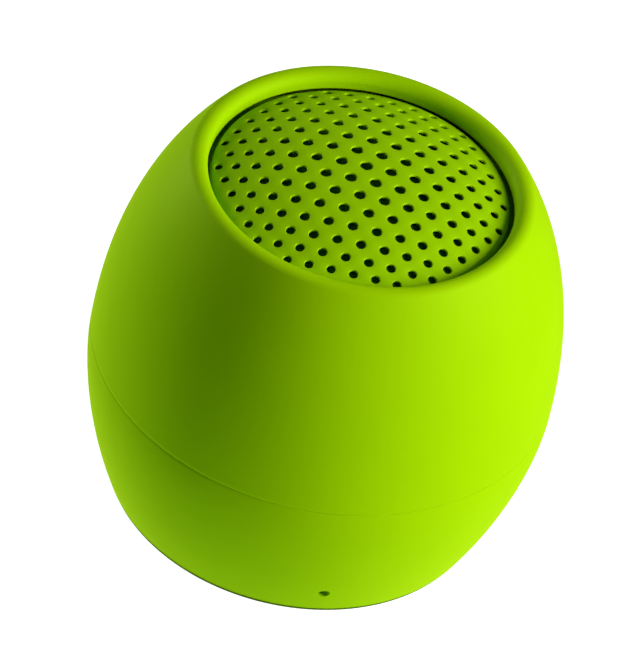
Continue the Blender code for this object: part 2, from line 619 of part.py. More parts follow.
def make_power_button():
    """The button in the middle of the base, held in by its flange, with a post for the switch."""
    face = [(0, BUTTON_Z), (3.6, BUTTON_Z), (BUTTON_RADIUS, BUTTON_Z + EDGE), (BUTTON_RADIUS, BUTTON_TOP)]
    flange = [(BUTTON_FLANGE, BUTTON_TOP), (BUTTON_FLANGE, BUTTON_FLANGE_TOP)]
    post = [(BUTTON_POST, BUTTON_FLANGE_TOP), (BUTTON_POST, BUTTON_POST_TOP), (0, BUTTON_POST_TOP)]
    turned("power_button", face + flange + post, DARK_GREEN)


def make_microphone():
    """The microphone and the rubber boot that seals it to the sound hole."""
    half = MIC_POCKET_HALF - 0.4
    boot = mic_block("mic_boot", half, (15.0, MIC_POCKET - GAP), MIC_Z - 0.9, MIC_Z + 1.5, RUBBER)
    mic_duct(boot, "boot_duct")
    mic_block("microphone", half - 0.2, (13.3, 15.0 - GAP), MIC_Z - 0.85, MIC_Z + 1.4, STEEL)


def make_port_flap():
    """The soft cover of the port, following the shell, with a plug on its inside."""
    hinge_x = PORT_WIDE / 2 - GAP
    hinge = (-hinge_x, math.sqrt(body_radius(PORT_Z) ** 2 - hinge_x ** 2), PORT_Z)
    flap = port_tool("port_flap", GAP, PORT_REACH)
    flap.data.materials.append(new_material("port_flap", LIME))
    outside = wall_points(PORT_Z - 4, PORT_Z + 4, 0.0, 7)
    inside = wall_points(PORT_Z - 4, PORT_Z + 4, FLAP_THICK, 5)[::-1]
    combine(flap, turned("flap_skin", outside + inside, None, 2 * ROUND), "INTERSECT")
    plug = block("flap_plug", FLAP_PLUG, (0, FLAP_PLUG_Y, PORT_Z), None, round_axis=1, rounding=0.6)
    combine(flap, plug, "UNION")
    shift = Matrix.Translation([-value * MM for value in hinge])
    flap.data.transform(shift)
    flap.location = [value * MM for value in hinge]


# ---------------------------------------------------------------- wires

def smooth_route(points, per_span):
    """Points along a Catmull-Rom curve through the route."""
    ends = [points[0]] + points + [points[-1]]
    route = []
    for a, b, c, d in zip(ends, ends[1:], ends[2:], ends[3:]):
        for index in range(per_span):
            t = index / per_span
            route.append(tuple(0.5 * (2 * q + (r - p) * t + (2 * p - 5 * q + 4 * r - s) * t * t
                                      + (3 * q - p - 3 * r + s) * t ** 3)
                               for p, q, r, s in zip(a, b, c, d)))
    return route + [points[-1]]


def wire(name, points, material):
    """A round insulated wire along a route."""
    curve = bpy.data.curves.new(name, "CURVE")
    curve.dimensions = "3D"
    curve.bevel_depth = WIRE_RADIUS * MM
    curve.bevel_resolution = 1
    curve.use_fill_caps = True
    route = smooth_route(points, 3)
    spline = curve.splines.new("POLY")
    spline.points.add(len(route) - 1)
    for point, place in zip(spline.points, route):
        point.co = (*[value * MM for value in place], 1.0)
    curve.materials.append(new_material(name, material))
    bpy.context.scene.collection.objects.link(bpy.data.objects.new(name, curve))


def make_wires():
    """Two wires from the board to the driver, and two from the battery to the board."""
    for pole, way, material in (("plus", 1, RED), ("minus", -1, BLACK_PLASTIC)):
        route = [(x, way * DRIVER_SIDE, z) for x, z in DRIVER_ROUTE]
        wire("driver_wire_" + pole, route, material)
        shift = way * BATTERY_SIDE
        ends = [(x, y + shift, z + shift) for x, y, z in BATTERY_ROUTE[:2]]
        rest = [(x, y + shift, z) for x, y, z in BATTERY_ROUTE[2:]]
        wire("battery_wire_" + pole, ends + rest, material)


def build():
    """Make every piece."""
    clear_scene()
    make_upper_shell()
    make_lower_shell()
    make_seam_seal()
    make_grille()
    make_grille_support()
    make_driver_frame()
    make_motor()
    make_moving_driver()
    make_driver_mount()
    make_battery()
    make_board()
    make_usb_socket()
    make_tact_switch()
    make_base()
    make_power_button()
    make_microphone()
    make_port_flap()
    make_wires()


build()
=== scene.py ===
"""The looks of a palm-size, egg-shaped wireless speaker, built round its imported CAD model.

Sizes in this file are millimetres, and MM turns them into Blender's metres.
+Z is up, -Y is the front and +Y is the back. The speaker stands on z = 0.
"""

import json
import math

import bmesh
import bpy
from mathutils import Matrix, Vector


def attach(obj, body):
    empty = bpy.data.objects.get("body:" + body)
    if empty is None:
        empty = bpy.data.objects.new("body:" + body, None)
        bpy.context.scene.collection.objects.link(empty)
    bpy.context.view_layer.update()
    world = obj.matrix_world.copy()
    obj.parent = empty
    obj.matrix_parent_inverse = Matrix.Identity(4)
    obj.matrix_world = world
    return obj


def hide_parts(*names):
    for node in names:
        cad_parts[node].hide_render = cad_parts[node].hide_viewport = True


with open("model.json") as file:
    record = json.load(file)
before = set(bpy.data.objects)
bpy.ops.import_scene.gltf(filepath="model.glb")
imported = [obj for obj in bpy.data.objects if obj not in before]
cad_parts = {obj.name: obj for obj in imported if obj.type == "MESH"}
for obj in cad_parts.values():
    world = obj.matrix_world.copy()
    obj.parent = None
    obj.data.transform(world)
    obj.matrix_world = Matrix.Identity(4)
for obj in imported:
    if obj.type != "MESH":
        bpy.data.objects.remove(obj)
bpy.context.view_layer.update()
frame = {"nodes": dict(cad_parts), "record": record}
FINISHES = {}

MM = 0.001

# The outside of the egg, the same curve as the CAD shells follow.
BODY_RADIUS = 23.0
EQUATOR_Z = 15.7
UPPER_LENGTH, UPPER_POWER = 33.0, 2.235
LOWER_LENGTH, LOWER_POWER = 31.7, 1.6
OPENING_RADIUS = 14.9
LIP_RADIUS = 1.03
LIP_SEARCH, LIP_TRIALS = 0.9, 200
WALL = 1.4

# The seam between the shells, and the break of its edges: how deep, and the share at the corner.
SEAM_Z = 17.0
SEAM_GAP = 0.04
SEAM_EDGE, EDGE_SHARE = 0.03, 0.3

# The perforated dome: its edge is bent down, and its shape is given in hole pitches from the middle.
GRILLE_TOP_Z = 41.08
GRILLE_THICK = 0.5
GRILLE_RADIUS = 15.9
BEND_INNER, BEND_OUTER, BEND_FALL = 14.28, 14.75, 0.9
BEND_START = 0.02
DOME_DROP = 0.0718
DOME_FLARE = 4.5e-6
DOME_SHRINK = 0.003
DOME_STEPS = 9.0
SHEET = 0.22

# The holes: their grid, how they shrink per pitch, and the middle one's section as (radius, depth).
HOLE_PITCH = 2.42
HOLE_REACH, HOLE_RINGS_SQUARED = 8, 43
HOLE_TAPER = 0.05
HOLE_PROFILE = [(0.73, 0.0), (0.675, 0.012), (0.64, 0.04), (0.62, 0.09), (0.61, 0.15), (0.61, SHEET)]

# The membrane under the grille: its reach in pitches, its distance from the grille, and its thickness.
MEMBRANE_STEPS, MEMBRANE_GAP, MEMBRANE_THICK = 6.7, 0.3, 0.3

# The upper shell's underside over the grille's edge, and where the wall's curves stop short of the lip.
LIP_CLEARANCE = 0.06
LIP_UNDERSIDE = (OPENING_RADIUS, 15.4, GRILLE_RADIUS, 16.4)
LIP_START, UNDERSIDE_START = 0.12, 0.2

# The lower shell's section.
LEDGE_Z, LEDGE_TOP, LEDGE_INNER = 2.9, 4.7, 14.0
TONGUE, TONGUE_INNER, TONGUE_TOP, TONGUE_LOW = 21.2, 20.3, 19.8, 15.0
INNER_WALL_TOP = 14.2
SHELL_BASE, HEEL, HEEL_TURN = 0.42, 0.12, 15

# The base: foot, plate, button and lamp. Outlines are (radius, height), the groove's from its middle.
FOOT_HIGH = 0.35
FOOT_OUTER, FOOT_INNER = 18.9, 11.0
FOOT_GROOVES = (12.6, 14.0, 15.4, 16.8)
GROOVE_SECTION = ((-0.3, 0.0), (-0.22, 0.13), (0.22, 0.13), (0.3, 0.0))
FOOT_INNER_ROUND, FOOT_OUTER_ROUND, FINE_ROUND = 0.08, 0.05, 0.04
PLATE_Z, PLATE_TOP, PLATE_RADIUS = 0.65, 2.6, 16.7
PLATE_GAP, PLATE_ROLL, PLATE_ROUND = 0.15, 0.25, 0.1
PLATE_BORE_TOP, PLATE_SINK_TOP = 3.0, 1.9
BUTTON_RADIUS, BUTTON_HOLE = 4.15, 4.5
BUTTON_FACE = [(0, 1.0), (1.0, 0.99), (1.9, 0.97), (2.02, 0.9), (2.2, 0.88), (2.38, 0.9), (2.5, 0.95),
               (3.2, 0.88), (3.6, 0.81), (3.8, 0.8), (3.98, 0.84), (4.1, 0.94), (BUTTON_RADIUS, 1.1)]
BUTTON_STEM = [(BUTTON_RADIUS, 2.9), (5.1, 2.9), (5.2, 3.0), (5.2, 3.4), (5.1, 3.5), (1.3, 3.5), (1.2, 3.6),
               (1.2, 3.85), (1.15, 3.9), (0, 3.9)]
LAMP_PLACE = (0.0, -8.0, 0.0)
LAMP_OUTLINE = [(0, 0.75), (0.25, 0.79), (0.41, 0.89), (0.48, 1.04), (0.48, 2.9), (1.2, 2.9), (1.2, 3.3),
                (0.8, 3.3), (0.8, 5.1), (0.7, 5.2), (0, 5.2)]

# Circles of screws and posts: the circle's radius, and their directions from +X in degrees.
BASE_SCREWS = (15.1, (90, 210, 330))
DRIVER_SCREWS = (17.45, (45, 135, 225, 315))
BOARD_POSTS = (15.0, (30, 150, 270))
TRAY_POSTS = (17.6, (0, 120, 240))
SCREW_BORE, SCREW_SINK, POST_RADIUS, BOSS_RADIUS = 0.78, 1.3, 1.2, 1.3

# What the shells gain as posts and lose as screw holes: circle, radius, lower end, upper end, operation.
UPPER_RODS = (
    (DRIVER_SCREWS, BOSS_RADIUS, 32.7, 35.4, "UNION"),
    (DRIVER_SCREWS, SCREW_BORE, 32.5, 34.7, "DIFFERENCE"),
)
LOWER_RODS = (
    (BOARD_POSTS, POST_RADIUS, LEDGE_TOP - 0.5, 6.1, "UNION"),
    (TRAY_POSTS, POST_RADIUS, LEDGE_TOP - 0.5, 11.1, "UNION"),
    (BOARD_POSTS, SCREW_BORE, LEDGE_TOP - 0.1, 6.4, "DIFFERENCE"),
    (TRAY_POSTS, SCREW_BORE, 8.0, 11.4, "DIFFERENCE"),
    (BASE_SCREWS, SCREW_BORE, LEDGE_Z - 0.5, 4.4, "DIFFERENCE"),
)

# The sound hole, its mouth as (wider than the hole, out from the wall), and the microphone's pocket.
MIC_Z, MIC_AZIMUTH, MIC_HOLE = 3.8, -75.0, 0.52
MIC_MOUTH = ((0.0, -0.12), (0.04, -0.04), (0.12, 0.04))
MIC_CUT_START, MIC_CUT_END = 14.0, 24.0
MIC_POCKET, MIC_POCKET_PLACE = (4.4, 4.4, 3.3), (15.2, 0, 4.05)

# The charging port's opening, and its soft cover. The cover's edge is (inset, depth) from the face in,
# and its plug's tip is (inset, distance back).
PORT_Z, PORT_WIDE, PORT_HIGH, PORT_ROUND = 9.1, 11.0, 5.0, 1.6
PORT_CHAMFER, PORT_SPARE = 0.22, 0.02
PORT_CUT_START, PORT_CUT_END = 17.0, 25.0
FLAP_GAP, FLAP_THICK, FLAP_DRAFT, HINGE_GAP = 0.24, 1.2, 0.12, 0.3
FLAP_BOX = (PORT_WIDE - 2 * FLAP_GAP - HINGE_GAP, PORT_HIGH - 2 * FLAP_GAP, PORT_ROUND - FLAP_GAP)
FLAP_FACE_INSET, FLAP_FACE_START, FLAP_FACE_RINGS = 0.18, 0.04, 16
FLAP_EDGE = ((0.1, 0.015), (0.04, 0.06), (0.0, 0.16), (0.0, 0.45),
             (0.0, FLAP_THICK - 0.1), (0.1, FLAP_THICK))
DIMPLE_X, DIMPLE_SIZE, DIMPLE_DEEP, DIMPLE_TALL = 3.7, 0.75, 0.28, 1.4
PLUG_WIDE, PLUG_HIGH, PLUG_ROUND, PLUG_END = 7.2, 1.6, 0.6, 19.1
PLUG_ROOT_WIDER, PLUG_ROOT_ROUND, PLUG_ROOT_LONG = 0.3, 0.75, 0.15
PLUG_TIP = ((0.0, PLUG_END + 0.2), (0.06, PLUG_END + 0.06), (0.2, PLUG_END))

# The charging socket: its can, the tongue in it, and the contacts. The boxes are (width, height,
# rounding), and the sections (inset, distance back).
USB_MOUTH, USB_BACK, USB_FLOOR = 19.9, 13.4, 14.4
USB_CAN = (9.0, 3.2, 1.4)
USB_CAN_SECTION = ((0.15, USB_BACK), (0.0, USB_BACK + 0.15), (0.0, USB_MOUTH - 0.1), (0.06, USB_MOUTH),
                   (0.22, USB_MOUTH), (0.3, USB_MOUTH - 0.1), (0.3, USB_FLOOR + 0.1), (0.4, USB_FLOOR))
USB_TONGUE = (6.4, 0.7, 0.3)
USB_TONGUE_SECTION = ((0.0, USB_FLOOR - 0.1), (0.0, 18.35), (0.05, 18.46), (0.15, 18.5))
CONTACTS, CONTACT_FIRST, CONTACT_PITCH = 12, -2.75, 0.5
CONTACT_SIZE, CONTACT_BACK, CONTACT_RISE, CONTACT_BEVEL = (0.25, 3.4, 0.06), 16.4, 0.36, 0.02

# How finely things are turned, how many points a curve has, and how close counts as the same.
ROUND = 192
MEDIUM = 96
SMALL = 48
CORNER = 8
LIP_POINTS, UPPER_POINTS, LOWER_POINTS = 25, 60, 50
UPPER_INNER_POINTS, LOWER_INNER_POINTS, MEMBRANE_POINTS = 20, 12, 25
BEND_RINGS = 12
MERGE = 1e-7
PATTERN_MERGE = 1e-5
CLOSE = 1e-5
TINY = 1e-9
SHARP, GRILLE_SHARP = 40.0, 50.0

# The camera: where it looks from, its lean and its lens.
VIEW_ELEVATION = math.radians(41.4)
VIEW_ROLL = math.radians(13.0)
VIEW_DISTANCE = 544.5
VIEW_LENS, SENSOR_WIDTH = 300.0, 36.0
CLIP_NEAR, CLIP_FAR = 0.01, 10.0
LOOK_RIGHT, LOOK_UP = -0.72, 2.485

# The fill light: its colour from straight below, and its colour from the sides and above. The first
# turns into the second between two heights of the direction that the light comes from.
FILL_BELOW, FILL_BELOW_AT = (2.1, 2.5, 0.15), -1.0
FILL_ABOVE, FILL_ABOVE_AT = (0.045, 0.08, 0.03), -0.2
FLOOR_HALF = 1500

# A plain finish: the size of its patches of colour and of gloss, and how much the gloss varies.
DRIFT_SIZE, GLOSS_SIZE, GLOSS_SPREAD = 5.0, 1.6, 0.05

# The colour sockets of a Mix node, which share their names with its sockets for numbers.
MIX_FIRST, MIX_SECOND, MIX_RESULT = 6, 7, 2


# ---------------------------------------------------------------- curves

def body_radius(height):
    """The outside radius at a height: two super-elliptic halves that meet at the widest circle."""
    rise = height - EQUATOR_Z
    length, power = (UPPER_LENGTH, UPPER_POWER) if rise >= 0 else (LOWER_LENGTH, LOWER_POWER)
    return BODY_RADIUS * math.sqrt(1 - (abs(rise) / length) ** power)


def wall_normal(height):
    """The outward direction of the outside curve at a height, as (radial, upward)."""
    step = 0.01
    slope = (body_radius(height + step) - body_radius(height - step)) / (2 * step)
    size = math.hypot(1, slope)
    return 1 / size, -slope / size


def wall_points(low, high, inset, count):
    """Points along the wall, from low to high, moved into it by inset."""
    points = []
    for index in range(count):
        height = low + (high - low) * index / (count - 1)
        out, up = wall_normal(height)
        points.append((body_radius(height) - inset * out, height - inset * up))
    return points


def lip_touch():
    """The height of the lip's centre, and the angle at which the lip leaves the outside curve."""
    centre_r = OPENING_RADIUS + LIP_RADIUS
    rises = [LIP_RADIUS * index / LIP_TRIALS for index in range(LIP_TRIALS)]

    def spare(middle):
        """The smallest distance left between the lip's round and the outside curve, and where."""
        return min((body_radius(middle + rise) - centre_r - math.sqrt(LIP_RADIUS ** 2 - rise ** 2), rise)
                   for rise in rises)

    low, high = EQUATOR_Z, EQUATOR_Z + UPPER_LENGTH * LIP_SEARCH
    while high - low > CLOSE:
        middle = (low + high) / 2
        low, high = (middle, high) if spare(middle)[0] >= 0 else (low, middle)
    return low, math.asin(spare(low)[1] / LIP_RADIUS)


def lip_points(count):
    """The rolled lip, from the outside curve over its crest to the wall of the opening."""
    centre_z, start = lip_touch()
    centre_r = OPENING_RADIUS + LIP_RADIUS
    angles = [start + (math.pi - start) * index / (count - 1) for index in range(count)]
    return [(centre_r + LIP_RADIUS * math.cos(angle), centre_z + LIP_RADIUS * math.sin(angle))
            for angle in angles]


def rounded(corners, steps=4):
    """A closed outline from (radius, height, rounding) corners."""
    points = []
    for index, (x, y, size) in enumerate(corners):
        here = Vector((x, y))
        if not size:
            points.append((x, y))
            continue
        back = (Vector(corners[index - 1][:2]) - here).normalized()
        ahead = (Vector(corners[(index + 1) % len(corners)][:2]) - here).normalized()
        half = back.angle(ahead) / 2
        centre = here + (back + ahead).normalized() * size / math.sin(half)
        first = here + back * size / math.tan(half) - centre
        last = here + ahead * size / math.tan(half) - centre
        start = math.atan2(first.y, first.x)
        sweep = (math.atan2(last.y, last.x) - start + math.pi) % (2 * math.pi) - math.pi
        for step in range(steps + 1):
            angle = start + sweep * step / steps
            points.append((centre.x + size * math.cos(angle), centre.y + size * math.sin(angle)))
    return points


# ---------------------------------------------------------------- meshes

def add_piece(name, bm, sharp=SHARP):
    """Turn a bmesh in millimetres into a smooth-shaded object in metres."""
    bmesh.ops.scale(bm, vec=(MM, MM, MM), verts=bm.verts)
    bmesh.ops.remove_doubles(bm, verts=bm.verts, dist=MERGE)
    bmesh.ops.recalc_face_normals(bm, faces=bm.faces)
    mesh = bpy.data.meshes.new(name)
    bm.to_mesh(mesh)
    bm.free()
    mesh.shade_smooth()
    mesh.set_sharp_from_angle(angle=math.radians(sharp))
    piece = bpy.data.objects.new(name, mesh)
    bpy.context.scene.collection.objects.link(piece)
    return piece


def spun(outline, segments):
    """Spin a (radius, height) outline round Z. It closes on itself unless it ends on the axis."""
    bm = bmesh.new()
    points = [bm.verts.new((radius, 0, height)) for radius, height in outline]
    pairs = list(zip(points, points[1:]))
    if outline[0][0] > 0 or outline[-1][0] > 0:
        pairs.append((points[-1], points[0]))
    edges = [bm.edges.new(pair) for pair in pairs]
    bmesh.ops.spin(bm, geom=points + edges, cent=(0, 0, 0), axis=(0, 0, 1), dvec=(0, 0, 0),
                   angle=2 * math.pi, steps=segments, use_merge=True)
    return bm


def turned(name, outline, segments=ROUND):
    """A solid of revolution."""
    return add_piece(name, spun(outline, segments))


def evaluated(piece):
    """Bake a piece's modifiers into its mesh."""
    graph = bpy.context.evaluated_depsgraph_get()
    graph.update()
    mesh = bpy.data.meshes.new_from_object(piece.evaluated_get(graph))
    piece.modifiers.clear()
    piece.data = mesh
    return piece


def combine(target, tool, operation):
    """Cut a tool out of a piece or join it on. The tool is used up."""
    modifier = target.modifiers.new(tool.name, "BOOLEAN")
    modifier.operation = operation
    modifier.solver = "EXACT"
    modifier.object = tool
    evaluated(target)
    target.data.set_sharp_from_angle(angle=math.radians(SHARP))
    bpy.data.objects.remove(tool)


def rods(radius, low, high, places):
    """One tool of equal round rods, parallel to Z."""
    bm = bmesh.new()
    for x, y, _ in places:
        middle = Matrix.Translation((x, y, (low + high) / 2))
        bmesh.ops.create_cone(bm, cap_ends=True, segments=SMALL, radius1=radius, radius2=radius,
                              depth=high - low, matrix=middle)
    return add_piece("tool", bm)


def circle_of(radius, directions):
    """Places on a circle round the axis."""
    return [(radius * math.cos(math.radians(turn)), radius * math.sin(math.radians(turn)), 0.0)
            for turn in directions]


def add_rods(piece, table):
    """Join rods to a piece, or cut them out of it."""
    for circle, radius, low, high, operation in table:
        combine(piece, rods(radius, low, high, circle_of(*circle)), operation)


def box_tool(size, centre, turn):
    """A block, turned about the Z axis."""
    bm = bmesh.new()
    bmesh.ops.create_cube(bm, size=1.0)
    bmesh.ops.scale(bm, vec=size, verts=bm.verts)
    bmesh.ops.translate(bm, vec=centre, verts=bm.verts)
    about_z = Matrix.Rotation(math.radians(turn), 3, "Z")
    bmesh.ops.rotate(bm, cent=(0, 0, 0), matrix=about_z, verts=bm.verts)
    return add_piece("tool", bm)


def rounded_box(wide, high, rounding, inset=0.0):
    """Points round a rounded rectangle, as (x, z), the same count for any size."""
    points = []
    half_x, half_z = wide / 2 - rounding, high / 2 - rounding
    reach = rounding - inset
    corners = [(half_x, half_z, 0), (-half_x, half_z, 90), (-half_x, -half_z, 180), (half_x, -half_z, 270)]
    for number, (x, z, start) in enumerate(corners):
        for step in range(CORNER + 1):
            angle = math.radians(start + 90 * step / CORNER)
            points.append((x + reach * math.cos(angle), z + reach * math.sin(angle)))
        here = Vector(points[-1])
        after_x, after_z, turn = corners[(number + 1) % 4]
        aim = math.radians(turn)
        ahead = Vector((after_x + reach * math.cos(aim), after_z + reach * math.sin(aim)))
        points += [tuple(here.lerp(ahead, step / CORNER)) for step in range(1, CORNER)]
    return points


def lofted(name, rings):
    """A closed solid through rings of equal count, each end gathered to the middle of its ring."""
    bm = bmesh.new()
    made = [[bm.verts.new(point) for point in ring] for ring in rings]
    for first, second in zip(made, made[1:]):
        for index in range(len(first)):
            bm.faces.new((first[index - 1], first[index], second[index], second[index - 1]))
    for ring in (made[0], made[-1]):
        middle = bm.verts.new(sum((vert.co for vert in ring), Vector()) / len(ring))
        for index in range(len(ring)):
            bm.faces.new((ring[index - 1], ring[index], middle))
    return add_piece(name, bm)


def dress(piece, body, slot, *nodes, finish=None):
    """Ride a piece on a body, give it its slot's finish, and let it stand for CAD nodes."""
    if nodes:
        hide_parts(*nodes)
    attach(piece, body)
    paint(piece, FINISHES[finish or slot])


# ---------------------------------------------------------------- the grille

def bend_fall(radius):
    """How far the sheet's bent-down edge lies below the dome at a radius."""
    along = min(max((radius - BEND_INNER) / (BEND_OUTER - BEND_INNER), 0.0), 1.0)
    return BEND_FALL * along * along * (3 - 2 * along)


def dome_point(steps):
    """Radius and height of the sheet's top face, a number of hole pitches from the middle."""
    radius = HOLE_PITCH * steps * (1 - DOME_SHRINK * steps ** 2)
    height = GRILLE_TOP_Z - DOME_DROP * steps ** 2 + DOME_FLARE * steps ** 6
    return radius, height - bend_fall(radius)


def dome_stretch(steps):
    """Millimetres per pitch along and across the dome's slope, and the slope itself."""
    run = HOLE_PITCH * (1 - 3 * DOME_SHRINK * steps ** 2)
    fall = 2 * DOME_DROP * steps - 6 * DOME_FLARE * steps ** 5
    return math.hypot(run, fall), HOLE_PITCH * (1 - DOME_SHRINK * steps ** 2), math.atan2(fall, run)


def steps_at(radius):
    """The number of hole pitches at which the dome reaches a radius."""
    low, high = 0.0, DOME_STEPS
    while high - low > CLOSE:
        middle = (low + high) / 2
        low, high = (middle, high) if dome_point(middle)[0] < radius else (low, middle)
    return low


def dome_z(radius):
    """Height of the sheet's top face at a radius."""
    return dome_point(steps_at(radius))[1]


def on_dome(flat):
    """A point of the flat pattern (x and y in pitches, z a depth in millimetres) on the dome."""
    steps = math.hypot(flat.x, flat.y)
    radius, height = dome_point(steps)
    slope = dome_stretch(steps)[2]
    out = radius + flat.z * math.sin(slope)
    aim = (flat.x / steps, flat.y / steps) if steps > TINY else (0.0, 0.0)
    return Vector((aim[0] * out, aim[1] * out, height + flat.z * math.cos(slope)))


def hole_centres():
    """Places of the holes in pitches, on a triangular grid with one in the middle."""
    reach = range(-HOLE_REACH, HOLE_REACH + 1)
    grid = [(i, j) for j in reach for i in reach if i * i + i * j + j * j <= HOLE_RINGS_SQUARED]
    return [Vector((i + j / 2, j * math.sqrt(3) / 2, 0)) for i, j in grid]


def cell_edge(per_side=4):
    """Points round the six-sided cell of one hole, relative to its centre."""
    corners = [Vector((math.cos(angle), math.sin(angle), 0)) / math.sqrt(3)
               for angle in [math.radians(30 + 60 * side) for side in range(6)]]
    return [corners[side].lerp(corners[(side + 1) % 6], step / per_side)
            for side in range(6) for step in range(per_side)]


def hole_ring(bm, centre, edge, radius, depth):
    """A true circle on the dome round a hole's centre, one point for each point of the cell's edge."""
    along, across, _ = dome_stretch(centre.length)
    radial = centre.normalized() if centre.length > TINY else Vector((1, 0, 0))
    sideways = Vector((-radial.y, radial.x, 0))
    ring = []
    for point in edge:
        aim = Vector((point.dot(radial) * along, point.dot(sideways) * across)).normalized() * radius
        flat = centre + radial * aim.x / along + sideways * aim.y / across
        ring.append(bm.verts.new((flat.x, flat.y, -depth)))
    return ring


def edge_ring(bm, centre, edge, depth):
    """The edge of a hole's cell at a depth, kept inside the sheet's bend."""
    reach = steps_at(BEND_INNER)
    flats = [centre + point for point in edge]
    flats = [flat * min(1.0, reach / flat.length) for flat in flats]
    return [bm.verts.new((flat.x, flat.y, -depth)) for flat in flats]


def add_cell(bm, centre, edge):
    """One hole with its rounded-over mouth, out to the edge of its cell, on both faces of the sheet."""
    share = 1 - HOLE_TAPER * centre.length
    rings = [edge_ring(bm, centre, edge, 0.0)]
    rings += [hole_ring(bm, centre, edge, radius * share, depth) for radius, depth in HOLE_PROFILE]
    rings.append(edge_ring(bm, centre, edge, SHEET))
    for upper, lower in zip(rings, rings[1:]):
        for index in range(len(edge)):
            bm.faces.new((upper[index - 1], upper[index], lower[index], lower[index - 1]))


def rim_circle(bm, radius, depth):
    """A ring of points round the sheet at a radius and a depth."""
    steps = steps_at(radius)
    angles = [2 * math.pi * index / ROUND for index in range(ROUND)]
    return [bm.verts.new((steps * math.cos(angle), steps * math.sin(angle), -depth)) for angle in angles]


def add_rim(bm, depth):
    """Fill between the cells and the bend at one depth, add the bend, and return the outermost ring."""
    edges = [item for item in bm.edges if item.is_boundary
             and all(abs(vert.co.z + depth) < PATTERN_MERGE for vert in item.verts)]
    radii = [BEND_INNER + BEND_START + (BEND_OUTER - BEND_INNER) * step / BEND_RINGS
             for step in range(BEND_RINGS + 1)]
    circles = [rim_circle(bm, radius, depth) for radius in radii + [GRILLE_RADIUS]]
    edges += [bm.edges.new((circles[0][index - 1], circles[0][index])) for index in range(ROUND)]
    bmesh.ops.triangle_fill(bm, use_beauty=True, edges=edges)
    for inner, outer in zip(circles, circles[1:]):
        for index in range(ROUND):
            bm.faces.new((inner[index - 1], inner[index], outer[index], outer[index - 1]))
    return circles[-1]


def make_grille():
    """The perforated sheet, laid out flat cell by cell and then drawn into the dome."""
    bm = bmesh.new()
    edge = cell_edge()
    for centre in hole_centres():
        add_cell(bm, centre, edge)
    bmesh.ops.remove_doubles(bm, verts=bm.verts, dist=PATTERN_MERGE)
    top = add_rim(bm, 0.0)
    bottom = add_rim(bm, SHEET)
    for index in range(len(top)):
        bm.faces.new((top[index - 1], top[index], bottom[index], bottom[index - 1]))
    for vert in bm.verts:
        vert.co = on_dome(vert.co)
    dress(add_piece("perforated_grille", bm, GRILLE_SHARP), "body", "grille", "grille")


# ---------------------------------------------------------------- shells

def make_upper_shell():
    """The upper shell, with the rolled lip, a fine edge at the seam, and the driver's four bosses."""
    low, rim = SEAM_Z + SEAM_GAP / 2, SEAM_EDGE * EDGE_SHARE
    lip = lip_points(LIP_POINTS)
    under = [(radius, dome_z(radius) + BEND_FALL + LIP_CLEARANCE) for radius in LIP_UNDERSIDE]
    outer = [(body_radius(low) - SEAM_EDGE, low), (body_radius(low) - rim, low + rim)]
    outer += wall_points(low + SEAM_EDGE, lip[0][1] - LIP_START, 0.0, UPPER_POINTS)
    inner = wall_points(low, under[-1][1] - UNDERSIDE_START, WALL, UPPER_INNER_POINTS)[::-1]
    piece = turned("shell_upper", outer + lip + under + inner)
    add_rods(piece, UPPER_RODS)
    dress(piece, "body", "shell", "upper_shell")


def wall_y(x, z, depth):
    """How far back the outside of the back wall is, less a depth."""
    return math.sqrt(body_radius(z) ** 2 - x ** 2) - depth


def port_tool():
    """The port's opening through the back wall, with a fine chamfer that follows the wall."""
    plain = rounded_box(PORT_WIDE, PORT_HIGH, PORT_ROUND)
    wide = rounded_box(PORT_WIDE, PORT_HIGH, PORT_ROUND, -PORT_CHAMFER)
    rings = [[(x, PORT_CUT_START, PORT_Z + z) for x, z in plain],
             [(x, wall_y(x, PORT_Z + z, PORT_CHAMFER), PORT_Z + z) for x, z in plain],
             [(x, wall_y(x, PORT_Z + z, -PORT_SPARE), PORT_Z + z) for x, z in wide],
             [(x, PORT_CUT_END, PORT_Z + z) for x, z in wide]]
    return lofted("tool", rings)


def mic_tool():
    """The sound hole, drilled straight in towards the microphone, with a softened mouth."""
    mouth = [(MIC_HOLE + wider, body_radius(MIC_Z) + out) for wider, out in MIC_MOUTH]
    start = [(0, MIC_CUT_START), (MIC_HOLE, MIC_CUT_START)]
    end = [(mouth[-1][0], MIC_CUT_END), (0, MIC_CUT_END)]
    bm = spun(start + mouth + end, SMALL)
    bmesh.ops.rotate(bm, cent=(0, 0, 0), matrix=Matrix.Rotation(math.pi / 2, 3, "Y"), verts=bm.verts)
    bmesh.ops.translate(bm, vec=(0, 0, MIC_Z), verts=bm.verts)
    turn = Matrix.Rotation(math.radians(MIC_AZIMUTH), 3, "Z")
    bmesh.ops.rotate(bm, cent=(0, 0, 0), matrix=turn, verts=bm.verts)
    return add_piece("tool", bm)


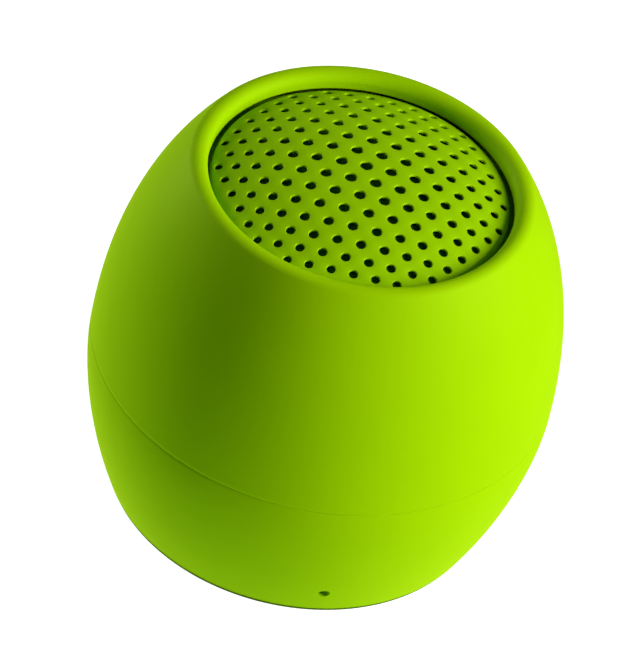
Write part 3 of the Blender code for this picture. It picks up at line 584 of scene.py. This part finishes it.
def lower_outline():
    """The lower shell's section, down to its rounded heel above the foot."""
    high, rim = SEAM_Z - SEAM_GAP / 2, SEAM_EDGE * EDGE_SHARE
    heel_z, recess = SHELL_BASE + HEEL, PLATE_RADIUS + PLATE_GAP
    heel_r = body_radius(heel_z) - HEEL
    angles = [math.radians(turn) for turn in range(0, 90, HEEL_TURN)]
    outline = [(heel_r + HEEL * math.sin(angle), heel_z - HEEL * math.cos(angle)) for angle in angles]
    outline += wall_points(heel_z, high - SEAM_EDGE, 0.0, LOWER_POINTS)
    outline += [(body_radius(high) - rim, high - rim), (body_radius(high) - SEAM_EDGE, high)]
    outline += [(TONGUE, high), (TONGUE, TONGUE_TOP)]
    outline += [(TONGUE_INNER, TONGUE_TOP), (TONGUE_INNER, TONGUE_LOW)]
    outline += wall_points(LEDGE_TOP, INNER_WALL_TOP, WALL, LOWER_INNER_POINTS)[::-1]
    outline += [(LEDGE_INNER, LEDGE_TOP), (LEDGE_INNER, LEDGE_Z)]
    return outline + [(recess, LEDGE_Z), (recess, SHELL_BASE)]


def make_lower_shell():
    """The lower shell, with its posts, the charging port's opening and the sound hole."""
    piece = turned("shell_lower", lower_outline())
    add_rods(piece, LOWER_RODS)
    combine(piece, port_tool(), "DIFFERENCE")
    combine(piece, box_tool(MIC_POCKET, MIC_POCKET_PLACE, MIC_AZIMUTH), "DIFFERENCE")
    combine(piece, mic_tool(), "DIFFERENCE")
    dress(piece, "body", "shell", "lower_shell")


# ---------------------------------------------------------------- charging port

def port_rings(box, section):
    """Rings round the port's middle: a (width, height, rounding) box at each (inset, distance back)."""
    return [[(x, back, PORT_Z + z) for x, z in rounded_box(*box, inset)] for inset, back in section]


def on_wall(points, depth):
    """Points at a depth in the back wall, sunk where the dimple is if they are near the face."""
    ring = []
    for x, z in points:
        away = math.hypot(x - DIMPLE_X, z / DIMPLE_TALL) / DIMPLE_SIZE
        sink = DIMPLE_DEEP * math.exp(-away ** 2) if depth < FLAP_THICK / 2 else 0.0
        ring.append((x, wall_y(x, PORT_Z + z, depth + sink), PORT_Z + z))
    return ring


def flap_face(share):
    """A ring of the cover's face, shrunk to a share of its size."""
    points = rounded_box(*FLAP_BOX, FLAP_FACE_INSET)
    return on_wall([(x * share + HINGE_GAP / 2, z * share) for x, z in points], 0.0)


def flap_outline(inset, depth):
    """The cover's outline at a depth: its ends draw in so that it can swing out of the opening."""
    points = rounded_box(*FLAP_BOX, inset)
    return on_wall([(x * (1 - FLAP_DRAFT * depth) + HINGE_GAP / 2, z) for x, z in points], depth)


def make_port_flap():
    """The soft port cover: flush with the wall, rounded over, with a nail dimple and a plug behind."""
    rings = [flap_face(FLAP_FACE_START + (1 - FLAP_FACE_START) * index / FLAP_FACE_RINGS)
             for index in range(1, FLAP_FACE_RINGS + 1)]
    rings += [flap_outline(inset, depth) for inset, depth in FLAP_EDGE]
    root = rounded_box(PLUG_WIDE + PLUG_ROOT_WIDER, PLUG_HIGH + PLUG_ROOT_WIDER, PLUG_ROOT_ROUND)
    plug = (PLUG_WIDE, PLUG_HIGH, PLUG_ROUND)
    rings += [on_wall(root, FLAP_THICK), on_wall(rounded_box(*plug), FLAP_THICK + PLUG_ROOT_LONG)]
    rings += port_rings(plug, PLUG_TIP)
    dress(lofted("soft_port_cover", rings), "flap", "port_cover", "port_flap")


def make_socket():
    """The charging socket: a drawn steel tube with a rolled mouth, and the tongue in it."""
    dress(lofted("socket_can", port_rings(USB_CAN, USB_CAN_SECTION)), "body", "steel", "usb_socket")
    dress(lofted("socket_tongue", port_rings(USB_TONGUE, USB_TONGUE_SECTION)), "body", "dark_plastic")


def make_contacts():
    """The socket's contacts, a row on each side of its tongue."""
    bm = bmesh.new()
    for column in range(CONTACTS):
        for side in (-1, 1):
            place = Matrix.Translation((CONTACT_FIRST + CONTACT_PITCH * column, CONTACT_BACK,
                                        PORT_Z + side * CONTACT_RISE))
            bmesh.ops.create_cube(bm, size=1.0, matrix=place @ Matrix.Diagonal((*CONTACT_SIZE, 1.0)))
    bmesh.ops.bevel(bm, geom=bm.edges[:], offset=CONTACT_BEVEL, segments=1, affect="EDGES")
    dress(add_piece("socket_contacts", bm), "body", "copper", finish="gold_plate")


# ---------------------------------------------------------------- base

def make_foot():
    """The anti-slip foot, with four fine grooves round its sole."""
    corners = [(FOOT_INNER, 0.0, FOOT_INNER_ROUND)]
    for groove in FOOT_GROOVES:
        corners += [(groove + out, height, FINE_ROUND) for out, height in GROOVE_SECTION]
    corners += [(FOOT_OUTER, 0.0, FOOT_OUTER_ROUND), (FOOT_OUTER, FOOT_HIGH, FINE_ROUND)]
    corners.append((FOOT_INNER, FOOT_HIGH, FINE_ROUND))
    dress(turned("foot_pad", rounded(corners)), "body", "foot", "foot_ring")


def make_plate():
    """The base plate, with a rolled edge round the button, and its screw and lamp holes."""
    corners = [(BUTTON_HOLE, PLATE_Z, PLATE_ROLL), (PLATE_RADIUS, PLATE_Z, PLATE_ROUND),
               (PLATE_RADIUS, PLATE_TOP, PLATE_ROUND), (BUTTON_HOLE, PLATE_TOP, PLATE_ROUND)]
    piece = turned("bottom_plate", rounded(corners))
    places = circle_of(*BASE_SCREWS)
    combine(piece, rods(SCREW_BORE, 0.0, PLATE_BORE_TOP, places + [LAMP_PLACE]), "DIFFERENCE")
    combine(piece, rods(SCREW_SINK, 0.0, PLATE_SINK_TOP, places), "DIFFERENCE")
    dress(piece, "body", "base", "base_plate")


def make_button():
    """The rubber power button: dished, with a raised ring to feel for, a flange and a post."""
    dress(turned("power_key", BUTTON_FACE + BUTTON_STEM, MEDIUM), "button", "button", "power_button")


def make_lamp():
    """The clear light pipe, with a domed tip."""
    bm = spun(LAMP_OUTLINE, SMALL)
    bmesh.ops.translate(bm, vec=LAMP_PLACE, verts=bm.verts)
    dress(add_piece("lamp_lens", bm), "body", "clear", "light_pipe")


# ---------------------------------------------------------------- under the grille

def make_membrane():
    """The woven membrane that keeps water out, following the dome."""
    depth, last = GRILLE_THICK + MEMBRANE_GAP, MEMBRANE_POINTS - 1
    spots = [dome_point(MEMBRANE_STEPS * index / last) for index in range(MEMBRANE_POINTS)]
    top = [(radius, height - depth) for radius, height in spots]
    bottom = [(radius, height - MEMBRANE_THICK) for radius, height in top[::-1]]
    dress(turned("acoustic_membrane", top + bottom, MEDIUM), "body", "membrane", "membrane")


# ---------------------------------------------------------------- materials

class Nodes:
    """A small helper that adds and links shader nodes."""

    def __init__(self, name):
        self.material = FINISHES[name] = bpy.data.materials.new(name)
        self.material.use_nodes = True
        self.tree = self.material.node_tree
        self.shader = self.tree.nodes["Principled BSDF"]
        self.place = self.add("ShaderNodeTexCoord").outputs["Object"]

    def add(self, kind, **values):
        """Add a node and set its inputs by name."""
        node = self.tree.nodes.new(kind)
        for key, value in values.items():
            self.set(node, key.replace("_", " "), value)
        return node

    def set(self, node, key, value):
        """Link an input to a socket, or give it a value."""
        if isinstance(value, bpy.types.NodeSocket):
            self.tree.links.new(value, node.inputs[key])
        else:
            node.inputs[key].default_value = value

    def noise(self, size, detail=2.0, place=None):
        """Noise whose features are about size millimetres."""
        scale = 1 / (size * MM)
        node = self.add("ShaderNodeTexNoise", Vector=place or self.place, Scale=scale, Detail=detail)
        return node.outputs["Fac"]

    def between(self, factor, low, high):
        """Map a 0 to 1 factor to a range."""
        node = self.add("ShaderNodeMapRange", Value=factor)
        self.set(node, "To Min", low)
        self.set(node, "To Max", high)
        return node.outputs["Result"]

    def colours(self, factor, low, high):
        """Mix two colours by a factor."""
        node = self.tree.nodes.new("ShaderNodeMix")
        node.data_type = "RGBA"
        self.tree.links.new(factor, node.inputs["Factor"])
        node.inputs[MIX_FIRST].default_value = (*low, 1.0)
        node.inputs[MIX_SECOND].default_value = (*high, 1.0)
        return node.outputs[MIX_RESULT]

    def stretched(self, scale):
        """The place on the object, stretched along each axis."""
        return self.add("ShaderNodeMapping", Vector=self.place, Scale=scale).outputs["Vector"]

    def bands(self, axis, size):
        """Even waves across an axis, size millimetres apart. At scale 1 the node's are pi / 10 apart."""
        node = self.tree.nodes.new("ShaderNodeTexWave")
        node.bands_direction = axis
        self.set(node, "Vector", self.place)
        self.set(node, "Scale", math.pi / (10 * size * MM))
        return node.outputs["Fac"]

    def math(self, operation, first, second):
        """Work out one number from two."""
        node = self.tree.nodes.new("ShaderNodeMath")
        node.operation = operation
        for socket, value in zip(node.inputs, (first, second)):
            if isinstance(value, bpy.types.NodeSocket):
                self.tree.links.new(value, socket)
            else:
                socket.default_value = value
        return node.outputs["Value"]

    def bump(self, height, depth):
        """A bump of a depth in millimetres."""
        node = self.add("ShaderNodeBump", Height=height, Distance=depth * MM, Strength=1.0)
        return node.outputs["Normal"]

    def finish(self, **values):
        """Set the Principled shader's inputs by name."""
        for key, value in values.items():
            self.set(self.shader, key.replace("_", " "), value)
        return self.material


def tinted(colour, share):
    """A colour made lighter or darker by a share."""
    return tuple(min(1.0, channel * share) for channel in colour)


def mottled(name, colour, spread, rough, grain, depth, **values):
    """A plain finish: a colour that drifts by a share, uneven gloss, and a grain's size and depth."""
    nodes = Nodes(name)
    patches = nodes.noise(DRIFT_SIZE, detail=4.0)
    drift = nodes.colours(patches, tinted(colour, 1 - spread), tinted(colour, 1 + spread))
    gloss = nodes.between(nodes.noise(GLOSS_SIZE, detail=3.0), rough - GLOSS_SPREAD, rough + GLOSS_SPREAD)
    normal = nodes.bump(nodes.noise(grain, detail=3.0), depth)
    return nodes.finish(Base_Color=drift, Roughness=gloss, Normal=normal, **values)


def make_lime():
    """The greens: soft-touch shells, powder-coated grille, and the soft parts."""
    mottled("shell", (0.29, 0.56, 0.0), spread=0.03, rough=0.55, grain=0.12, depth=0.004,
            Specular_IOR_Level=0.12, Specular_Tint=(0.5, 1.0, 0.02, 1.0))
    mottled("grille", (0.265, 0.535, 0.0), spread=0.04, rough=0.42, grain=0.16, depth=0.006,
            Specular_IOR_Level=0.3, Specular_Tint=(0.5, 1.0, 0.05, 1.0))
    mottled("port_cover", (0.26, 0.52, 0.0), spread=0.04, rough=0.6, grain=0.2, depth=0.008,
            Specular_IOR_Level=0.2, Specular_Tint=(0.5, 1.0, 0.05, 1.0))
    mottled("base", (0.06, 0.16, 0.003), spread=0.06, rough=0.5, grain=0.25, depth=0.02,
            Specular_IOR_Level=0.4)
    mottled("button", (0.045, 0.12, 0.003), spread=0.06, rough=0.62, grain=0.2, depth=0.015,
            Specular_IOR_Level=0.35)
    mottled("foot", (0.045, 0.12, 0.003), spread=0.08, rough=0.75, grain=0.35, depth=0.03,
            Specular_IOR_Level=0.3)


def make_plastics():
    """The dark inner plastics, rubbers, wires and clear parts."""
    mottled("dark_plastic", (0.022, 0.023, 0.024), spread=0.1, rough=0.42, grain=0.3, depth=0.012)
    mottled("seal", (0.03, 0.031, 0.032), spread=0.12, rough=0.75, grain=0.3, depth=0.02,
            Specular_IOR_Level=0.35)
    mottled("wire_red", (0.5, 0.015, 0.012), spread=0.08, rough=0.4, grain=0.6, depth=0.006)
    mottled("wire_black", (0.02, 0.02, 0.021), spread=0.1, rough=0.4, grain=0.6, depth=0.006)
    mottled("clear", (0.86, 0.9, 0.9), spread=0.02, rough=0.12, grain=0.8, depth=0.002,
            Transmission_Weight=0.85, IOR=1.49)


def make_metals():
    """Steel with a drawn grain, wound copper, gold-plated contacts and the cell's foil."""
    steel = Nodes("steel")
    grain = steel.noise(0.08, detail=3.0, place=steel.stretched((1.0, 0.06, 1.0)))
    shade = steel.colours(steel.noise(2.5), low=(0.52, 0.52, 0.53), high=(0.64, 0.64, 0.65))
    steel.finish(Base_Color=shade, Roughness=steel.between(grain, low=0.24, high=0.42),
                 Normal=steel.bump(grain, depth=0.004), Metallic=1.0)
    copper = Nodes("copper")
    turns = copper.bands("Z", size=0.2)
    copper.finish(Base_Color=copper.colours(turns, low=(0.5, 0.2, 0.09), high=(0.78, 0.38, 0.2)),
                  Roughness=0.3, Normal=copper.bump(turns, depth=0.04), Metallic=1.0)
    mottled("gold_plate", (0.83, 0.62, 0.22), spread=0.05, rough=0.25, grain=0.2, depth=0.003, Metallic=1.0)
    foil = Nodes("foil")
    creases = foil.noise(1.1, detail=4.0)
    foil.finish(Base_Color=foil.colours(creases, low=(0.55, 0.56, 0.58), high=(0.68, 0.69, 0.7)),
                Roughness=foil.between(creases, low=0.28, high=0.45),
                Normal=foil.bump(creases, depth=0.12), Metallic=0.6)


def make_membrane_finish():
    """The membrane's weave: threads both ways."""
    membrane = Nodes("membrane")
    thread = 0.11
    weave = membrane.math("MULTIPLY", membrane.bands("X", thread), membrane.bands("Y", thread))
    membrane.finish(Base_Color=membrane.colours(weave, low=(0.05, 0.16, 0.006), high=(0.09, 0.28, 0.01)),
                    Roughness=0.9, Normal=membrane.bump(weave, depth=0.03), Specular_IOR_Level=0.1)


def make_paper():
    """The cone's pressed paper, with its fibres."""
    paper = Nodes("cone")
    fibre = paper.noise(0.15, detail=4.0, place=paper.stretched((1.0, 0.35, 1.0)))
    paper.finish(Base_Color=paper.colours(fibre, low=(0.03, 0.03, 0.03), high=(0.075, 0.073, 0.07)),
                 Roughness=0.85, Normal=paper.bump(fibre, depth=0.04), Specular_IOR_Level=0.25)


def make_board():
    """The circuit board, with traces where the noise folds back."""
    board = Nodes("board")
    fold, edge = 0.035, 0.02
    folded = board.math("PINGPONG", board.noise(2.2, detail=0.0), fold)
    traces = board.math("GREATER_THAN", folded, edge)
    board.finish(Base_Color=board.colours(traces, low=(0.012, 0.09, 0.035), high=(0.02, 0.16, 0.06)),
                 Roughness=board.between(traces, low=0.3, high=0.38),
                 Normal=board.bump(traces, depth=0.02))


def paint_frame():
    """Give every CAD node the finish of its material slot."""
    for entry in frame["record"]["subparts"]:
        paint(frame["nodes"][entry["node"]], FINISHES[entry["material_slot"]])


def paint(piece, material):
    """Give a piece one material."""
    piece.data.materials.clear()
    piece.data.materials.append(material)


# ---------------------------------------------------------------- camera, light and floor

def make_camera():
    """A long lens, looking down at the front, with the camera leaning against the clock."""
    lean, look = VIEW_ROLL, VIEW_ELEVATION
    right = Vector((1, 0, 0))
    up = Vector((0, math.sin(look), math.cos(look)))
    back = Vector((0, -math.cos(look), math.sin(look)))
    aim = Vector((0, 0, EQUATOR_Z)) + right * LOOK_RIGHT + up * LOOK_UP
    across = right * math.cos(lean) + up * math.sin(lean)
    above = up * math.cos(lean) - right * math.sin(lean)
    camera = bpy.data.objects.new("camera", bpy.data.cameras.new("camera"))
    camera.data.lens = VIEW_LENS
    camera.data.sensor_width = SENSOR_WIDTH
    camera.data.clip_start = CLIP_NEAR
    camera.data.clip_end = CLIP_FAR
    turn = Matrix((across, above, back)).transposed().to_4x4()
    camera.matrix_world = Matrix.Translation((aim + back * VIEW_DISTANCE) * MM) @ turn
    bpy.context.scene.collection.objects.link(camera)
    bpy.context.scene.camera = camera


def area_light(name, azimuth, elevation, distance, size, power, colour):
    """A soft rectangular light that looks at the speaker. Its azimuth runs from the front to the right."""
    data = bpy.data.lights.new(name, "AREA")
    data.shape = "RECTANGLE"
    data.size, data.size_y = [side * MM for side in size]
    data.energy = power
    data.color = colour
    light = bpy.data.objects.new(name, data)
    turn, rise = math.radians(azimuth), math.radians(elevation)
    aim = Vector((0, 0, EQUATOR_Z * MM))
    back = Vector((math.cos(rise) * math.sin(turn), -math.cos(rise) * math.cos(turn), math.sin(rise)))
    light.location = aim + back * distance * MM
    light.rotation_euler = back.to_track_quat("Z", "Y").to_euler()
    bpy.context.scene.collection.objects.link(light)


def make_world():
    """Fill: strong from straight below, as a pale surface throws it back up, and weak from elsewhere."""
    world = bpy.data.worlds.new("studio")
    world.use_nodes = True
    tree = world.node_tree
    direction = tree.nodes.new("ShaderNodeTexCoord").outputs["Generated"]
    split = tree.nodes.new("ShaderNodeSeparateXYZ")
    ramp = tree.nodes.new("ShaderNodeMapRange")
    ramp.inputs["From Min"].default_value = FILL_BELOW_AT
    ramp.inputs["From Max"].default_value = FILL_ABOVE_AT
    mix = tree.nodes.new("ShaderNodeMix")
    mix.data_type = "RGBA"
    mix.inputs[MIX_FIRST].default_value = (*FILL_BELOW, 1.0)
    mix.inputs[MIX_SECOND].default_value = (*FILL_ABOVE, 1.0)
    tree.links.new(direction, split.inputs["Vector"])
    tree.links.new(split.outputs["Z"], ramp.inputs["Value"])
    tree.links.new(ramp.outputs["Result"], mix.inputs["Factor"])
    tree.links.new(mix.outputs[MIX_RESULT], tree.nodes["Background"].inputs["Color"])
    bpy.context.scene.world = world
    bpy.context.scene.view_settings.view_transform = "Standard"


def make_light():
    """Soft studio light: a broad key from the right and a thin light from behind on the left."""
    area_light("key", azimuth=77, elevation=29, distance=500, size=(300, 300), power=4.15,
               colour=(1.0, 0.92, 0.85))
    area_light("back_left", azimuth=-118, elevation=8, distance=450, size=(120, 300), power=1.7,
               colour=(1.0, 0.97, 0.3))


def make_floor():
    """A plain floor that glows white, and throws no light on the speaker and no reflection into it."""
    bm = bmesh.new()
    bmesh.ops.create_grid(bm, x_segments=1, y_segments=1, size=FLOOR_HALF)
    floor = add_piece("floor", bm)
    paint(floor, mottled("pale_floor", (0.3, 0.3, 0.3), spread=0.01, rough=0.7, grain=2.0, depth=0.01,
                         Specular_IOR_Level=0.1, Emission_Color=(1.0, 1.0, 1.0, 1.0),
                         Emission_Strength=1.0))
    floor.visible_diffuse = False
    floor.visible_glossy = False


def main():
    """Build the looks round the frame."""
    make_camera()
    make_world()
    make_light()
    make_floor()
    make_lime()
    make_plastics()
    make_metals()
    make_membrane_finish()
    make_paper()
    make_board()
    paint_frame()
    make_upper_shell()
    make_lower_shell()
    make_grille()
    make_membrane()
    make_port_flap()
    make_socket()
    make_contacts()
    make_foot()
    make_plate()
    make_button()
    make_lamp()


main()
